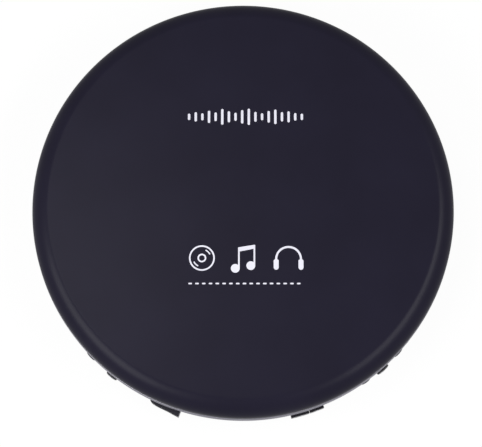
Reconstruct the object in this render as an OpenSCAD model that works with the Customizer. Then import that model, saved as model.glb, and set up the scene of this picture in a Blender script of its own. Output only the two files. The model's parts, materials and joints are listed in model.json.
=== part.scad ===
// Portable disc player: a round body with a hinged lid, a disc deck and its drive,
// front controls, a battery bay and two jacks.
// Millimetres, +Z up, front towards -Y. The origin is on the table under the spindle.

/* [Case] */
// Radius of the disc well
well_r = 61; // [55:0.5:67]
// Width of the rim from the disc well to the lid's edge
rim_w = 9; // [8:0.1:12]
// How far the bright side band stands out past the lid
band_out = 0.2; // [0:0.05:0.6]
// How far the lower shell is set in from the lid's edge
shell_set = 0.8; // [0.5:0.05:1.2]
// Wall thickness of the lid and the lower shell
wall = 1.8; // [1.5:0.1:2.2]
// Radius of the lower shell's bottom edge
edge_r = 6; // [4.5:0.1:7]
// Height of the rubber feet
foot_h = 0.8; // [0.5:0.1:1.5]
// Height where the lower shell ends and the side band starts
band_z = 15.1; // [13.6:0.1:18]
// Height of the side band
band_h = 4.9; // [4.4:0.1:6]
// Gap between the side band and the closed lid
lid_gap = 0.4; // [0.2:0.1:0.8]
// Radius of the lid's rounded rim
rim_r = 8; // [7:0.1:9]
// Angle that the rounded rim turns through before it meets the flat top
rim_turn = 78; // [70:1:84]
// Rise of the lid's top from the rim to the centre
crown_h = 0.475; // [0.2:0.025:1.5]

/* [Lid hinge] */
// Distance of the hinge pin inside the lid's edge
hinge_in = 5.5; // [5:0.1:6]
// Depth of the hinge pin below the deck's flange
hinge_drop = 0.7; // [0.5:0.05:1]
// Radius of the hinge pin
hinge_pin_r = 0.9; // [0.8:0.05:1]
// Radius of the hinge ears and arms
knuckle_r = 2.3; // [2:0.05:2.6]
// Half width of the recess that the lid's rear edge turns down into
recess_w = 27.5; // [24:0.5:32]
// How far that recess goes down below the side band
recess_drop = 1.5; // [1.2:0.1:2]

/* [Disc deck] */
// Depth of the disc well below the deck's flange
well_depth = 1.7; // [1.5:0.1:2]
// Thickness of the well's floor and wall
deck_t = 1.2; // [1:0.1:1.4]
// Gap between the turntable and the opening around it
hub_gap = 1.5; // [1:0.1:2.5]
// Half width of the opening above the pickup
window_w = 10.5; // [9.4:0.1:12]
// Distance from the end of that opening to the well's wall
window_end = 1; // [0.8:0.1:3]
// Radius of the two finger notches in the well's wall
notch_r = 6.5; // [5:0.1:8]

/* [Drive] */
// Radius of the hub that centres the disc
hub_r = 7.45; // [6.7:0.05:8.2]
// Radius of the turntable
table_r = 14.5; // [13:0.1:16]
// Radius of the spindle motor
spindle_motor_r = 10; // [8:0.5:11]
// Radius of the spindle shaft
shaft_r = 1; // [0.8:0.05:1.2]
// Radius of the three clamp balls
ball_r = 1.1; // [0.9:0.05:1.2]
// Radius of the lens centre when the pickup is fully in
lens_in = 23; // [21:0.1:26]
// Radius of the two guide rods
rod_r = 1.5; // [1.2:0.05:1.7]
// Distance of each guide rod from the middle of the pickup
rod_y = 17; // [15.5:0.1:18.7]
// Gear module
gear_m = 0.5; // [0.4:0.05:0.6]
// Teeth on the sled motor's pinion
pinion_teeth = 12; // [10:1:14]
// Teeth on the idler's large wheel
wheel_teeth = 36; // [32:1:40]
// Teeth on the idler's small gear, which drives the rack
small_teeth = 14; // [12:1:16]

/* [Front controls] */
// Height of the row of controls
key_z = 9; // [8.4:0.1:9.8]
// Press travel of a button
press = 0.6; // [0.4:0.1:0.8]
// Clearance around a button in its hole
key_gap = 0.15; // [0.1:0.01:0.25]
// Height of the volume keys
key_h = 3.8; // [3.4:0.1:4.2]
// Half angle of the display window
window_a = 11.3; // [10:0.1:12.5]
// Height of the display window
window_h = 6.4; // [5.7:0.1:7]
// Angle that the lid's opening slider moves through
slider_turn = 3.3; // [2.5:0.1:3.6]

/* [Battery bay] */
// Inner width of the bay, for two AA cells side by side
bay_w = 30.8; // [29.4:0.1:33.9]
// Half length of the bay, for a cell and its spring
bay_y = 27.2; // [26:0.1:30]
// Radius of a cell
cell_r = 7.25; // [7:0.05:7.4]
// Thickness of the battery door
door_t = 1.2; // [1:0.1:1.4]

/* [Jacks] */
// Radius of the headphone jack's bore
phones_r = 1.8; // [1.6:0.01:2]
// Depth of the headphone jack's bore
phones_len = 14; // [12:0.5:15.5]
// Radius of the power jack's bore
power_r = 2.85; // [2.4:0.05:3.1]
// Depth of the power jack's bore
power_len = 9; // [8:0.5:10]

/* [Hidden] */
$fn = 64;
eps = 0.01;
over = 1;
tall = 60;

// Radii and heights of the case
lid_r = well_r + rim_w;
band_r = lid_r + band_out;
shell_r = lid_r - shell_set;
shell_in = shell_r - wall;
lid_in = lid_r - wall;
edge_c = shell_r - edge_r;
edge_z = foot_h + edge_r;
floor_z = foot_h + wall;
deck_out = band_r - 2;
deck_z = band_z + band_h;
skirt_z = deck_z + lid_gap;
rim_z = skirt_z + 0.8;
rim_c = lid_r - rim_r;
crease_z = rim_z + rim_r * sin(rim_turn);
top_z = crease_z + crown_h;

// Liner inside the lid
liner_t = 0.9;
liner_z = rim_z + (rim_r - wall) * sin(rim_turn) - liner_t - 0.18;
liner_r = lid_r - 5.2;
liner_skirt_z = skirt_z + 0.5;

// Hinge, with its ears on the deck and its arms on the liner
hinge_y = lid_r - hinge_in;
hinge_z = deck_z - hinge_drop;
wall_y = hinge_y - knuckle_r - 0.4;
recess_z = band_z - recess_drop;
recess_y0 = wall_y - 12;
recess_y1 = lid_r + 5;
pin_len = 24.8;
ear_w = 2.1;
arm_x = 8.3;
arm_w = 3.6;
mid_ear_w = 3.3;
mid_ear_x = 3;

// Disc well and disc
notch_at = [-58, 62];
notch_x = deck_out - 2.7 - notch_r;
well_z = deck_z - well_depth;
deck_low = well_z - deck_t;
hub_hole_r = table_r + hub_gap;
window_x = well_r - window_end;
disc_z = well_z + 2;

// Turntable and hub
pad_t = 0.4;
table_z = disc_z - pad_t;
table_t = 1.2;
seat_top = disc_z + 1.5;
ball_z = seat_top + 0.7;
ball_x = hub_r + 0.3 - ball_r;

// Chassis, rods and sled
plate_z = well_z - 3.5;
plate_t = 1.5;
plate_x1 = spindle_motor_r + 2.4;
plate_y = rod_y + 7;
rod_z = plate_z - 3.3;
sled_z = rod_z - 3.5;
sled_top = rod_z + 2;
sled_x0 = -lens_in - 5;
sled_x1 = -lens_in + 11;
sled_w = 11.5;
sled_travel = window_x + sled_x0;
lens_z = sled_top + 3.7;
rod_x0 = -window_x - 2.3;
rod_x1 = sled_x1 + 2.9;

// Gears and rack
rack_back = -rod_y - 3.2;
rack_y = rack_back - 2.3;
rack_z = sled_z + 0.2;
rack_h = 2;
wheel_z = rod_z - 5.2;
wheel_h = 1.3;
idler_x = -lens_in - 1;
idler_y = rack_y - gear_m * small_teeth / 2;
rack_x1 = idler_x + sled_travel + 2.4;
motor_angle = -45;
motor_reach = gear_m * (wheel_teeth + pinion_teeth) / 2;
motor_x = idler_x + motor_reach * cos(motor_angle);
motor_y = idler_y + motor_reach * sin(motor_angle);
motor_r = 6;
axle_r = 0.8;
pressure = 25;
backlash = 0.04;

// A point at a distance from the spindle and an angle from +X
function polar(r, a) = r * [cos(a), sin(a)];

// Places of the fasteners, feet and dampers
screw_at = [for (a = [59.5, -59.5, 134.3, -134.3]) polar(well_r - 6, a)];
foot_at = [for (a = [48, -48, 146.3, -146.3]) polar(edge_c - 6, a)];
damper_at = [
    [plate_x1 - 6.4, rod_y + 8], [plate_x1 - 6.4, -rod_y - 9],
    [-window_x + 16, rod_y + 11], [-window_x + 14, -rod_y - 12]
];

// Front controls: angles from the front, positive to the right
menu_a = -46.5;
mode_a = -38.6;
previous_a = 35.8;
play_a = 41.5;
stop_a = 47.8;
hold_a = 52.2;
key_a = window_a + 1.8;
key_end = key_a + 9.2;
switch_a = 28;
slider_w = 7.9;
slider_a = -window_a - 6.3 - slider_w;
neck_a = slider_a + 1.1;
neck_w = 4;
hook_a = slider_a + 5.3;
hook_w = 3;
anchor_a = slider_a - 9.1;
hold_w = 0.8;

// Buttons: angle, radius and how far the top stands out of the shell
menu_b = [menu_a, 1.9, 1.3];
mode_b = [mode_a, 2.1, 1.5];
previous_b = [previous_a, 1.7, 1.1];
play_b = [play_a, 2.4, 1.7];
stop_b = [stop_a, 1.9, 1.3];

// Radii of what lies behind the shell's wall
key_out = shell_r + 1.5;
stem_in = shell_in - 2.1;
switch_out = shell_in - 3.4;
key_board_r = shell_in - 6.4;
key_board_t = 0.8;

// Display, centred on its window
display_z = band_z - 4.9;
glass_t = 1.6;
lcd_y = -shell_in + 2.5;
lcd_w = -lcd_y * sin(window_a) - 0.4;

// Jacks
phones_a = 90;
power_a = 105;
jack_out = shell_r + 0.5;
phones_x0 = jack_out - phones_len - 0.7;
power_x0 = jack_out - power_len - 2.7;
jack_low = key_z - 3.4;

// Battery bay, beyond the chassis and the rack
bay_wall = 1.6;
bay_x0 = max(plate_x1, rack_x1) + 0.6 + bay_wall;
bay_x1 = bay_x0 + bay_w;
bay_top = deck_low - 0.3;
door_x0 = bay_x0 - 0.5;
door_x1 = bay_x1 + 0.8;
door_y = bay_y + 0.6;
door_gap = 0.4;
door_pin_r = 0.5;
door_axis_x = bay_x0 + 0.1;
door_axis_z = foot_h + door_t / 2;
cell_z = foot_h + door_t + cell_r + 0.25;
cell_x = [bay_x0 + bay_w / 4, bay_x0 + 3 * bay_w / 4];
contact_h = 5;

// Boards
board_t = 1.2;
board_z = floor_z + 0.6;
board_top = board_z + board_t;
board_r = shell_in - 7.9;
boss_r = 3.4;
boss_top = well_z - 8.4;
post_at = [for (a = [90, 172, -97]) polar(board_r - 5, a)];
jack_post_at = [[bay_x1 + 5, -6], [bay_x1 + 5, 21]];

// Chips: distance in from the board's edge, angle, width, depth and height
chip_at = [
    [12.9, 121, 12, 12, 1.5], [20.2, 104.7, 9, 7, 1.2], [14.4, 77.2, 7, 7, 1.2],
    [6.4, 160.2, 8, 5, 1.2], [29.2, -97.6, 7, 10, 1.2], [6.7, -155.4, 5, 4, 1.1],
    [19.1, -81.5, 6, 5, 1.2], [41.6, 153.4, 14, 14, 1.4]
];

// Capacitors: distance in from the board's edge, angle, radius and height
cap_at = [[17.4, 61.6, 2.5, 6], [7.2, 47, 3.1, 8], [9.5, 87.7, 2, 5], [4.6, 107, 2.5, 7],
    [4.2, -143.5, 1.8, 5]];

// Colours
lid_c = "#28262f";
deck_c = "#26252c";
black_c = "#17161b";
grey_c = "#2b2a33";
silver_c = "#9a97a2";
steel_c = "#b9bcc2";
bright_c = "#d4d6da";
board_c = "#1f5a3a";
brass_c = "#b79a55";
white_c = "#d9d8d2";
switch_c = "#9b9b9e";

// ---------- shared shapes ----------

// Points along an arc of a profile
function arc(c, r, a0, a1, n = 12) =
    [for (i = [0:n]) c + r * [cos(a0 + (a1 - a0) * i / n), sin(a0 + (a1 - a0) * i / n)]];

// Turns a piece drawn along +X to an angle from the front
module at_front(a) {
    rotate([0, 0, a - 90])
        children();
}

// A tube between two radii and two heights
module tube(r0, r1, z0, z1) {
    rotate_extrude()
        translate([r0, z0])
            square([r1 - r0, z1 - z0]);
}

// A part of a tube between two angles from the front
module sector(r0, r1, a, z0, z1) {
    at_front(a[0])
        rotate_extrude(angle = a[1] - a[0])
            translate([r0, z0])
                square([r1 - r0, z1 - z0]);
}

// A block between two corners
module block(a, b) {
    translate(a)
        cube(b - a);
}

// A round bar from a point along one axis
module bar(p, dir, r, len) {
    translate(p)
        rotate(dir == "x" ? [0, 90, 0] : dir == "y" ? [-90, 0, 0] : [0, 0, 0])
            cylinder(r = r, h = len);
}

// A round post at each of some places, between two heights
module posts(places, r, z0, z1) {
    for (p = places)
        bar([p[0], p[1], z0], "z", r, z1 - z0);
}

// A wire wound on a cylinder along +Z, made as one closed tube of rings
module coil(r, wire, h, turns, r_end = 0, sides = 8, per_turn = 20) {
    n = ceil(turns * per_turn);
    end_r = r_end > 0 ? r_end : r;
    points = [
        for (i = [0:n], k = [0:sides - 1])
            let (
                a = 360 * turns * i / n,
                b = 360 * k / sides,
                ring_r = r + (end_r - r) * i / n + wire * cos(b)
            )
            [ring_r * cos(a), ring_r * sin(a), wire + (h - 2 * wire) * i / n + wire * sin(b)]
    ];
    sides_faces = [
        for (i = [0:n - 1], k = [0:sides - 1])
            [i * sides + k, i * sides + (k + 1) % sides,
             (i + 1) * sides + (k + 1) % sides, (i + 1) * sides + k]
    ];
    start_face = [for (k = [sides - 1:-1:0]) k];
    end_face = [for (k = [0:sides - 1]) n * sides + k];
    polyhedron(points, concat(sides_faces, [start_face, end_face]));
}

// Involute of an angle, in degrees
function inv(a) = tan(a) * 180 / PI - a;

// Half the angle of a gear tooth at radius q
function tooth_half(q, r, n) =
    90 / n - backlash / r * 180 / PI + inv(pressure)
    - inv(acos(min(1, r * cos(pressure) / q)));

// Outline of an involute gear, with its first tooth on +X
module gear_outline(n) {
    r = gear_m * n / 2;
    base = r * cos(pressure);
    root = r - 1.2 * gear_m;
    tip = r + 0.9 * gear_m;
    low = max(base, root);
    flank = concat([root], [for (i = [0:5]) low + (tip - low) * i / 5 + 0.001]);
    polygon([
        for (t = [0:n - 1], side = [-1, 1], i = [0:len(flank) - 1])
            let (
                q = flank[side < 0 ? i : len(flank) - 1 - i],
                a = 360 * t / n + side * tooth_half(q, r, n)
            )
            q * [cos(a), sin(a)]
    ]);
}

// ---------- lid ----------

function lid_profile() = concat(
    [[0, crease_z - wall + crown_h]],
    arc([rim_c, rim_z], rim_r - wall, rim_turn, 0),
    [[lid_in, skirt_z], [lid_r, skirt_z]],
    arc([rim_c, rim_z], rim_r, 0, rim_turn),
    [[0, top_z]]
);

module lid_shell() {
    color(lid_c)
        rotate_extrude($fn = 120)
            polygon(lid_profile());
}

// The moulded inside of the lid, with its hinge arms, latch hook and switch finger
module lid_liner() {
    skirt_t = 1.2;
    rib_h = 0.6;
    hold_r = hub_hole_r + 1;
    outer_rib_r = liner_r - 8.8;
    gap_x0 = arm_x - arm_w / 2 - 0.1;
    gap_x1 = arm_x + arm_w / 2 + 3.1;
    gaps = [[-gap_x1, -gap_x1 + 3], [-gap_x0, gap_x0], [gap_x1 - 3, gap_x1]];
    color(black_c)
        difference() {
            union() {
                rotate_extrude($fn = 120)
                    polygon([
                        [0, liner_z], [liner_r - skirt_t, liner_z],
                        [liner_r - skirt_t, liner_skirt_z], [liner_r, liner_skirt_z],
                        [liner_r, liner_z], [liner_r - 2.2, liner_z + liner_t],
                        [0, liner_z + liner_t]
                    ]);
                // Ring that keeps the disc on the hub
                tube(hold_r, hold_r + skirt_t, liner_z - 1.2, liner_z + eps);
                // Radial stiffening ribs
                for (a = [30:60:330])
                    rotate([0, 0, a])
                        block([hold_r + 3, -0.6, liner_z - rib_h],
                              [outer_rib_r + 0.4, 0.6, liner_z + eps]);
                tube(outer_rib_r, outer_rib_r + skirt_t, liner_z - rib_h, liner_z + eps);
                hinge_arms();
                latch_hook();
                // Finger that works the lid switch
                sector(liner_r - 0.9, liner_r + 0.8, [switch_a - 1, switch_a + 1],
                       deck_z - 3.1, liner_z);
            }
            // Gaps in the rim above the hinge ears
            for (x = gaps)
                block([x[0], liner_r - 10, liner_skirt_z - over], [x[1], lid_r, liner_skirt_z + 1.6]);
            hinge_bore(0.05);
        }
}

// The bore of the hinge pin, with its clearance
module hinge_bore(gap) {
    bar([-pin_len / 2 - over, hinge_y, hinge_z], "x", hinge_pin_r + gap, pin_len + 2 * over);
}

module hinge_arms() {
    for (side = [-1, 1])
        translate([side * arm_x - arm_w / 2, hinge_y, hinge_z])
            union() {
                bar([0, 0, 0], "x", knuckle_r, arm_w);
                block([0, -knuckle_r, 0], [arm_w, 0.6, liner_z - 0.8 - hinge_z]);
                block([0, -knuckle_r, 0], [arm_w, -0.5, liner_z + 0.3 - hinge_z]);
            }
}

module latch_hook() {
    sector(liner_r - 0.9, liner_r + 1.2, [hook_a, hook_a + hook_w], deck_z - 7, liner_z - 1);
    sector(liner_r + 1, liner_r + 2.2, [hook_a, hook_a + hook_w], deck_z - 7.1, deck_z - 5.8);
}

module hinge_pin() {
    color(steel_c)
        bar([-pin_len / 2, hinge_y, hinge_z], "x", hinge_pin_r, pin_len);
}

// Torsion spring on the middle of the hinge pin, with one leg up to the lid
module lid_spring() {
    coil_r = hinge_pin_r + 0.55;
    wire = 0.35;
    color(steel_c)
        union() {
            translate([-2.6, hinge_y, hinge_z])
                rotate([0, 90, 0])
                    coil(coil_r, wire, 5.2, 5);
            bar([2.25, hinge_y - coil_r, hinge_z], "z", 0.3, liner_z - 1.1 - hinge_z);
        }
}

// ---------- deck ----------

module disc_deck() {
    flange_t = deck_t;
    skirt_t = 1.4;
    wall_t = 0.7;
    slot_r0 = liner_r - 1.7;
    slot_z = band_z - 3;
    notch_a = asin((notch_r + 1) / well_r);
    color(deck_c)
        difference() {
            union() {
                difference() {
                    rotate_extrude($fn = 120)
                        polygon([
                            [hub_hole_r, deck_low], [well_r + 1, deck_low],
                            [well_r + 1, deck_z - flange_t], [deck_out - skirt_t, deck_z - flange_t],
                            [deck_out - skirt_t, band_z + 0.1], [deck_out, band_z + 0.1],
                            [deck_out, deck_z], [well_r + 0.4, deck_z],
                            [well_r, deck_z - 0.4], [well_r, well_z], [hub_hole_r, well_z]
                        ]);
                    // Recess behind the hinge wall
                    block([-recess_w, wall_y, recess_z - over], [recess_w, recess_y1, deck_z + over]);
                }
                // Raised ring around the turntable
                tube(hub_hole_r, hub_hole_r + 1.2, well_z - eps, well_z + 0.35);
                // Wall in front of the hinge
                intersection() {
                    block([-recess_w, wall_y - wall_t, recess_z], [recess_w, wall_y, deck_z]);
                    cylinder(r = deck_out - 1, h = tall);
                }
                // Pockets that the finger notches are cut into
                for (a = notch_at)
                    sector(well_r + 0.5, deck_out - 1.2, [a - notch_a, a + notch_a],
                           deck_low + 0.2, deck_z - flange_t / 2);
                // Wall around the opening above the pickup
                difference() {
                    block([-window_x - 0.2, -window_w - 1, well_z - 2],
                          [-hub_hole_r / 2, window_w + 1, well_z - eps]);
                    cylinder(r = hub_hole_r, h = tall);
                }
                hinge_ears();
                posts(screw_at, 3, boss_top + 0.1, well_z - 0.4);
                posts(damper_at, 2, plate_z - 1.3, well_z - 0.5);
            }
            // Opening above the pickup
            block([-window_x, -window_w, well_z - 5], [-hub_hole_r / 2, window_w, well_z + over]);
            hinge_bore(0.01);
            posts(damper_at, 1.05, plate_z - 2, plate_z + 2);
            posts(screw_at, 1.02, boss_top - 2, boss_top + 6);
            for (a = notch_at)
                at_front(a)
                    bar([notch_x, 0, well_z + 0.3], "z", notch_r, well_depth);
            // Slot for the latch hook, and hole for the switch finger
            sector(slot_r0, liner_r + 2.8, [hook_a - 0.6, hook_a + hook_w + 0.6],
                   slot_z, deck_z + over);
            sector(slot_r0, liner_r + 1.4, [switch_a - 1.6, switch_a + 1.6], slot_z, deck_z + over);
        }
}

// Two outer ears, and two inner ones beside the lid's spring
module hinge_ears() {
    ears = [
        [-pin_len / 2, ear_w], [-mid_ear_x - mid_ear_w, mid_ear_w],
        [mid_ear_x, mid_ear_w], [pin_len / 2 - ear_w, ear_w]
    ];
    for (ear = ears)
        translate([ear[0], 0, hinge_z]) {
            bar([0, hinge_y, 0], "x", knuckle_r, ear[1]);
            block([0, wall_y - 0.3, -4], [ear[1], hinge_y, knuckle_r]);
            block([0, wall_y - 0.3, -4], [ear[1], hinge_y + 1.4, -1]);
        }
}

module side_band() {
    band_in = deck_out + 0.1;
    color(silver_c)
        difference() {
            rotate_extrude($fn = 120)
                polygon([
                    [band_in, band_z], [band_r - 0.3, band_z], [band_r, band_z + 0.3],
                    [band_r, deck_z - 0.4], [band_r - 0.4, deck_z], [band_in, deck_z]
                ]);
            block([-recess_w, recess_y0, band_z - over], [recess_w, recess_y1, deck_z + over]);
        }
}

// ---------- lower shell ----------

function shell_outline() = concat(
    [[0, foot_h]], arc([edge_c, edge_z], edge_r, -90, 0), [[shell_r, band_z], [0, band_z]]
);

function shell_hollow() = concat(
    [[0, floor_z]], arc([edge_c, edge_z], edge_r - wall, -90, 0),
    [[shell_in, band_z + over], [0, band_z + over]]
);

module bottom_shell() {
    color(black_c)
        difference() {
            union() {
                difference() {
                    rotate_extrude($fn = 120)
                        polygon(shell_outline());
                    rotate_extrude($fn = 120)
                        polygon(shell_hollow());
                    block([-recess_w, recess_y0, recess_z], [recess_w, recess_y1, band_z + over]);
                }
                // Shelf that closes the hinge recess from below
                intersection() {
                    block([-recess_w - 1, wall_y - 1.6, recess_z - 1.2],
                          [recess_w + 1, lid_r, recess_z]);
                    cylinder(r = shell_r - 0.5, h = tall);
                }
                // Walls of the battery bay
                difference() {
                    block([bay_x0 - bay_wall, -bay_y - bay_wall, floor_z - eps],
                          [bay_x1 + bay_wall, bay_y + bay_wall, bay_top]);
                    block([bay_x0, -bay_y, foot_h], [bay_x1, bay_y, bay_top + over]);
                }
                posts(screw_at, boss_r, floor_z - eps, boss_top);
                posts(post_at, 2, floor_z - eps, board_z);
                posts(jack_post_at, 1.8, floor_z - eps, jack_low - 0.05 - board_t);
                // Raised plate behind the opening slider
                sector(shell_in + 0.5, shell_r + 0.3,
                       [slider_a - 0.8, slider_a + slider_w + slider_turn + 1.5],
                       key_z - 2.6, key_z + 2.6);
                // Anchor of the slider's return spring
                sector(shell_in - 2, shell_in + 0.2, [anchor_a, anchor_a + 1],
                       key_z - 2.5, key_z + 2.5);
            }
            // Opening for the battery door and its two pivots
            block([door_x0 - door_gap, -door_y - door_gap, 0],
                  [door_x1 + door_gap, door_y + door_gap, floor_z - eps]);
            block([bay_x0, -bay_y, 0], [bay_x1, bay_y, floor_z + over]);
            bar([door_axis_x, -door_y - 1.2, door_axis_z], "y", door_pin_r + 0.05, 2 * door_y + 2.4);
            posts(screw_at, 1.3, 0, boss_top + over);
            posts(screw_at, 2.7, 0, floor_z + 0.4);
            front_openings();
            jack_openings();
            // Shallow seats for the feet
            posts(foot_at, 4.7, 0, foot_h + 0.4);
        }
}

module front_openings() {
    in = shell_in - 7;
    out = shell_r + 5;
    sector(in, out, [-window_a - 0.15, window_a + 0.15], display_z - window_h / 2 - key_gap,
           display_z + window_h / 2 + key_gap);
    sector(in, out, [key_a - 0.2, key_end + 0.2], key_z - key_h / 2 - key_gap,
           key_z + key_h / 2 + key_gap);
    sector(in, out, [neck_a - 0.4, neck_a + neck_w + slider_turn + 0.5], key_z - 0.95, key_z + 0.95);
    sector(in, out, [hold_a - hold_w - 1.1, hold_a + hold_w + 1.5], key_z - 0.75, key_z + 0.75);
    for (b = [menu_b, mode_b, previous_b, play_b, stop_b])
        at_front(b[0])
            bar([in, 0, key_z], "x", b[1] + key_gap, out - in);
}

module jack_openings() {
    at_front(phones_a)
        bar([shell_in - 7, 0, key_z], "x", 3.3, 15);
    at_front(power_a)
        bar([shell_in - 7, 0, key_z], "x", 3.9, 15);
}

// Hinged along its inner edge on two small pivots
module battery_door() {
    groove_pitch = 1.8;
    color(black_c)
        difference() {
            union() {
                block([door_x0, -door_y, foot_h], [door_x1, door_y, foot_h + door_t]);
                bar([door_axis_x, -door_y - 1, door_axis_z], "y", door_pin_r, 2 * door_y + 2);
            }
            // Finger grooves near the outer edge
            for (i = [0:4])
                block([door_x1 - 4 - groove_pitch * i, -8, foot_h - over],
                      [door_x1 - 3.1 - groove_pitch * i, 8, foot_h + 0.35]);
        }
}

module rubber_feet() {
    foot_r = 4.5;
    color("#101013")
        for (p = foot_at)
            translate([p[0], p[1], 0])
                rotate_extrude()
                    polygon([
                        [0, 0], [foot_r - 0.4, 0], [foot_r, 0.4], [foot_r, foot_h + 0.4],
                        [0, foot_h + 0.4]
                    ]);
}

module case_screws() {
    head_z = 1.6;
    color(steel_c)
        for (p = screw_at)
            translate([p[0], p[1], 0])
                difference() {
                    union() {
                        bar([0, 0, head_z], "z", 2.4, 1.4);
                        bar([0, 0, head_z + 0.9], "z", 1, boss_top + 5.1 - head_z - 0.9);
                    }
                    for (a = [0, 90])
                        rotate([0, 0, a])
                            block([-1.4, -0.25, head_z - 0.6], [1.4, 0.25, head_z + 0.7]);
                }
}

// ---------- front controls ----------

module display_window() {
    low = display_z - window_h / 2;
    high = display_z + window_h / 2;
    color("#0c0c10")
        union() {
            sector(shell_in - 0.3, shell_r + 0.1, [-window_a, window_a], low, high);
            sector(shell_in - 0.8, shell_in - 0.1, [-window_a - 0.9, window_a + 0.9],
                   low - 0.3, high + 0.6);
        }
}

module lcd_panel() {
    color("#5d6657")
        block([-lcd_w, lcd_y, display_z - window_h / 2 + 0.2],
              [lcd_w, lcd_y + glass_t, display_z + window_h / 2 - 0.2]);
}

module lcd_backlight() {
    color(white_c)
        block([-lcd_w, lcd_y + glass_t, display_z - window_h / 2 - 0.2],
              [lcd_w, lcd_y + glass_t + 1.2, display_z + window_h / 2 + 0.2]);
}

// Knob, neck and carriage of the slider that lets the lid go
module open_slider() {
    low = shell_r + 0.45;
    high = shell_r + 0.8;
    ramp = 1.7;
    steps = 8;
    end_w = slider_w + 0.3;
    knob = concat(
        [for (i = [0:steps]) [high + ramp * i / steps, slider_a + slider_w * i / steps]],
        [for (i = [0:steps]) [low, slider_a + end_w - end_w * i / steps]]
    );
    color(grey_c)
        difference() {
            union() {
                translate([0, 0, key_z - 2.1])
                    linear_extrude(4.2)
                        polygon([for (p = knob) p[0] * [sin(p[1]), -cos(p[1])]]);
                sector(shell_in - 0.4, low + 0.1, [neck_a, neck_a + neck_w], key_z - 0.8, key_z + 0.8);
                sector(shell_in - 1.4, shell_in - 0.3, [slider_a - 2, slider_a + slider_w + 1.1],
                       key_z - 2.5, key_z + 3.5);
                // Catch beside the lid's hook
                sector(shell_in - 1.3, shell_in - 0.4, [hook_a + hook_w + 0.3, hook_a + hook_w + 1.5],
                       key_z + 2, band_z - 0.1);
            }
            // Grip ribs cut across the ramp
            for (i = [0:4])
                at_front(slider_a + 2.2 + 1.05 * i)
                    block([high + 0.05 + 0.25 * i, -0.25, key_z - 3], [high + 3, 0.25, key_z + 3]);
        }
}

// Lies between its anchor and the carriage
module slider_spring() {
    span = slider_a - 2 - anchor_a - 1;
    middle_r = shell_in - 1.2;
    len = span * PI / 180 * middle_r - 0.65;
    color(steel_c)
        at_front(anchor_a + 1 + span / 2)
            translate([middle_r, -len / 2, key_z])
                rotate([-90, 0, 0])
                    coil(0.9, 0.2, len, 9, 0, 6, 16);
}

// A round button: dome, barrel, inner flange and stem, along +X
module round_button(b) {
    r = b[1];
    out = shell_r + b[2];
    dome = 0.5;
    stem_r = 1.1;
    flange = 0.6;
    at_front(b[0])
        translate([0, 0, key_z])
            rotate([0, 90, 0])
                rotate_extrude()
                    polygon(concat(
                        [[0, stem_in], [stem_r, stem_in], [stem_r, stem_in + 1],
                         [r + flange, stem_in + 1], [r + flange, shell_in - 0.4],
                         [r, shell_in - 0.4], [r, out - dome]],
                        [for (i = [1:6]) [r * cos(15 * i), out - dome + dome * sin(15 * i)]]
                    ));
}

module menu_button() {
    color(black_c)
        round_button(menu_b);
}

module mode_button() {
    color(black_c)
        round_button(mode_b);
}

module previous_button() {
    color("#3a3942")
        round_button(previous_b);
}

module play_button() {
    color(black_c)
        round_button(play_b);
}

module stop_button() {
    color(black_c)
        round_button(stop_b);
}

// A curved key that fills part of the key opening
module curved_key(a) {
    flange = 0.9;
    union() {
        sector(shell_in - 0.8, key_out, a, key_z - key_h / 2, key_z + key_h / 2);
        sector(shell_in - 1.2, shell_in - 0.3, a, key_z - key_h / 2 - flange,
               key_z + key_h / 2 + flange);
        at_front((a[0] + a[1]) / 2)
            bar([stem_in, 0, key_z], "x", 1.1, 1.2);
    }
}

module volume_down_key() {
    color(black_c)
        curved_key([key_a, key_a + 5]);
}

module volume_up_key() {
    color(black_c)
        curved_key([key_a + 5.25, key_end]);
}

module hold_switch() {
    color(grey_c)
        union() {
            sector(shell_in - 0.5, shell_r + 1, [hold_a - hold_w, hold_a + hold_w],
                   key_z - 0.6, key_z + 0.6);
            sector(shell_in - 1.1, shell_in - 0.3, [hold_a - hold_w - 1.1, hold_a + hold_w + 1.7],
                   key_z - 1.6, key_z + 1.6);
        }
}

// One small push switch behind each button, and the hold contact
module key_switches() {
    push = [for (b = [menu_b, mode_b, previous_b, play_b, stop_b]) b[0]];
    keys = [key_a + 2.5, (key_a + 5.25 + key_end) / 2];
    reach = stem_in - press - 0.1 - switch_out;
    color(switch_c)
        for (a = concat(push, keys, [hold_a]))
            at_front(a) {
                block([key_board_r + key_board_t, -1.75, key_z - 2], [switch_out, 1.75, key_z + 2]);
                bar([switch_out - eps, 0, key_z], "x", 0.9, a == hold_a ? reach + 1.4 : reach);
            }
}

// Curved board in two wings, left and right of the display
module key_board() {
    low = key_z - 3.6;
    color(board_c)
        difference() {
            sector(key_board_r, key_board_r + key_board_t, [menu_a - 3.5, hold_a + 3.3],
                   low, key_z + 3.2);
            for (a = [[anchor_a - 0.4, window_a + 1.2], [switch_a - 3.5, switch_a + 4.5]])
                sector(key_board_r - 1, key_board_r + 2, a, low + 1.2, key_z + 4);
        }
}

// ---------- boards ----------

// Open to the right, around the battery bay
module main_board() {
    slot_x0 = bay_x0 - bay_wall - 0.4;
    slot_y = bay_y + bay_wall + 0.4;
    color(board_c)
        difference() {
            bar([0, 0, board_z], "z", board_r, board_t);
            block([slot_x0, -slot_y, 0], [board_r + over, slot_y, tall]);
            posts(screw_at, boss_r + 0.4, 0, tall);
        }
}

// Small board under the two jacks
module jack_board() {
    top = jack_low - 0.05;
    color(board_c)
        intersection() {
            block([bay_x1 + bay_wall + 0.5, -9, top - board_t], [lid_r, 24, top]);
            cylinder(r = shell_in - 2.4, h = tall);
        }
}

module board_chips() {
    color("#202024")
        for (c = chip_at)
            translate(concat(polar(board_r - c[0], c[1]), board_top + c[4] / 2))
                cube([c[2], c[3], c[4]], center = true);
}

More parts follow.
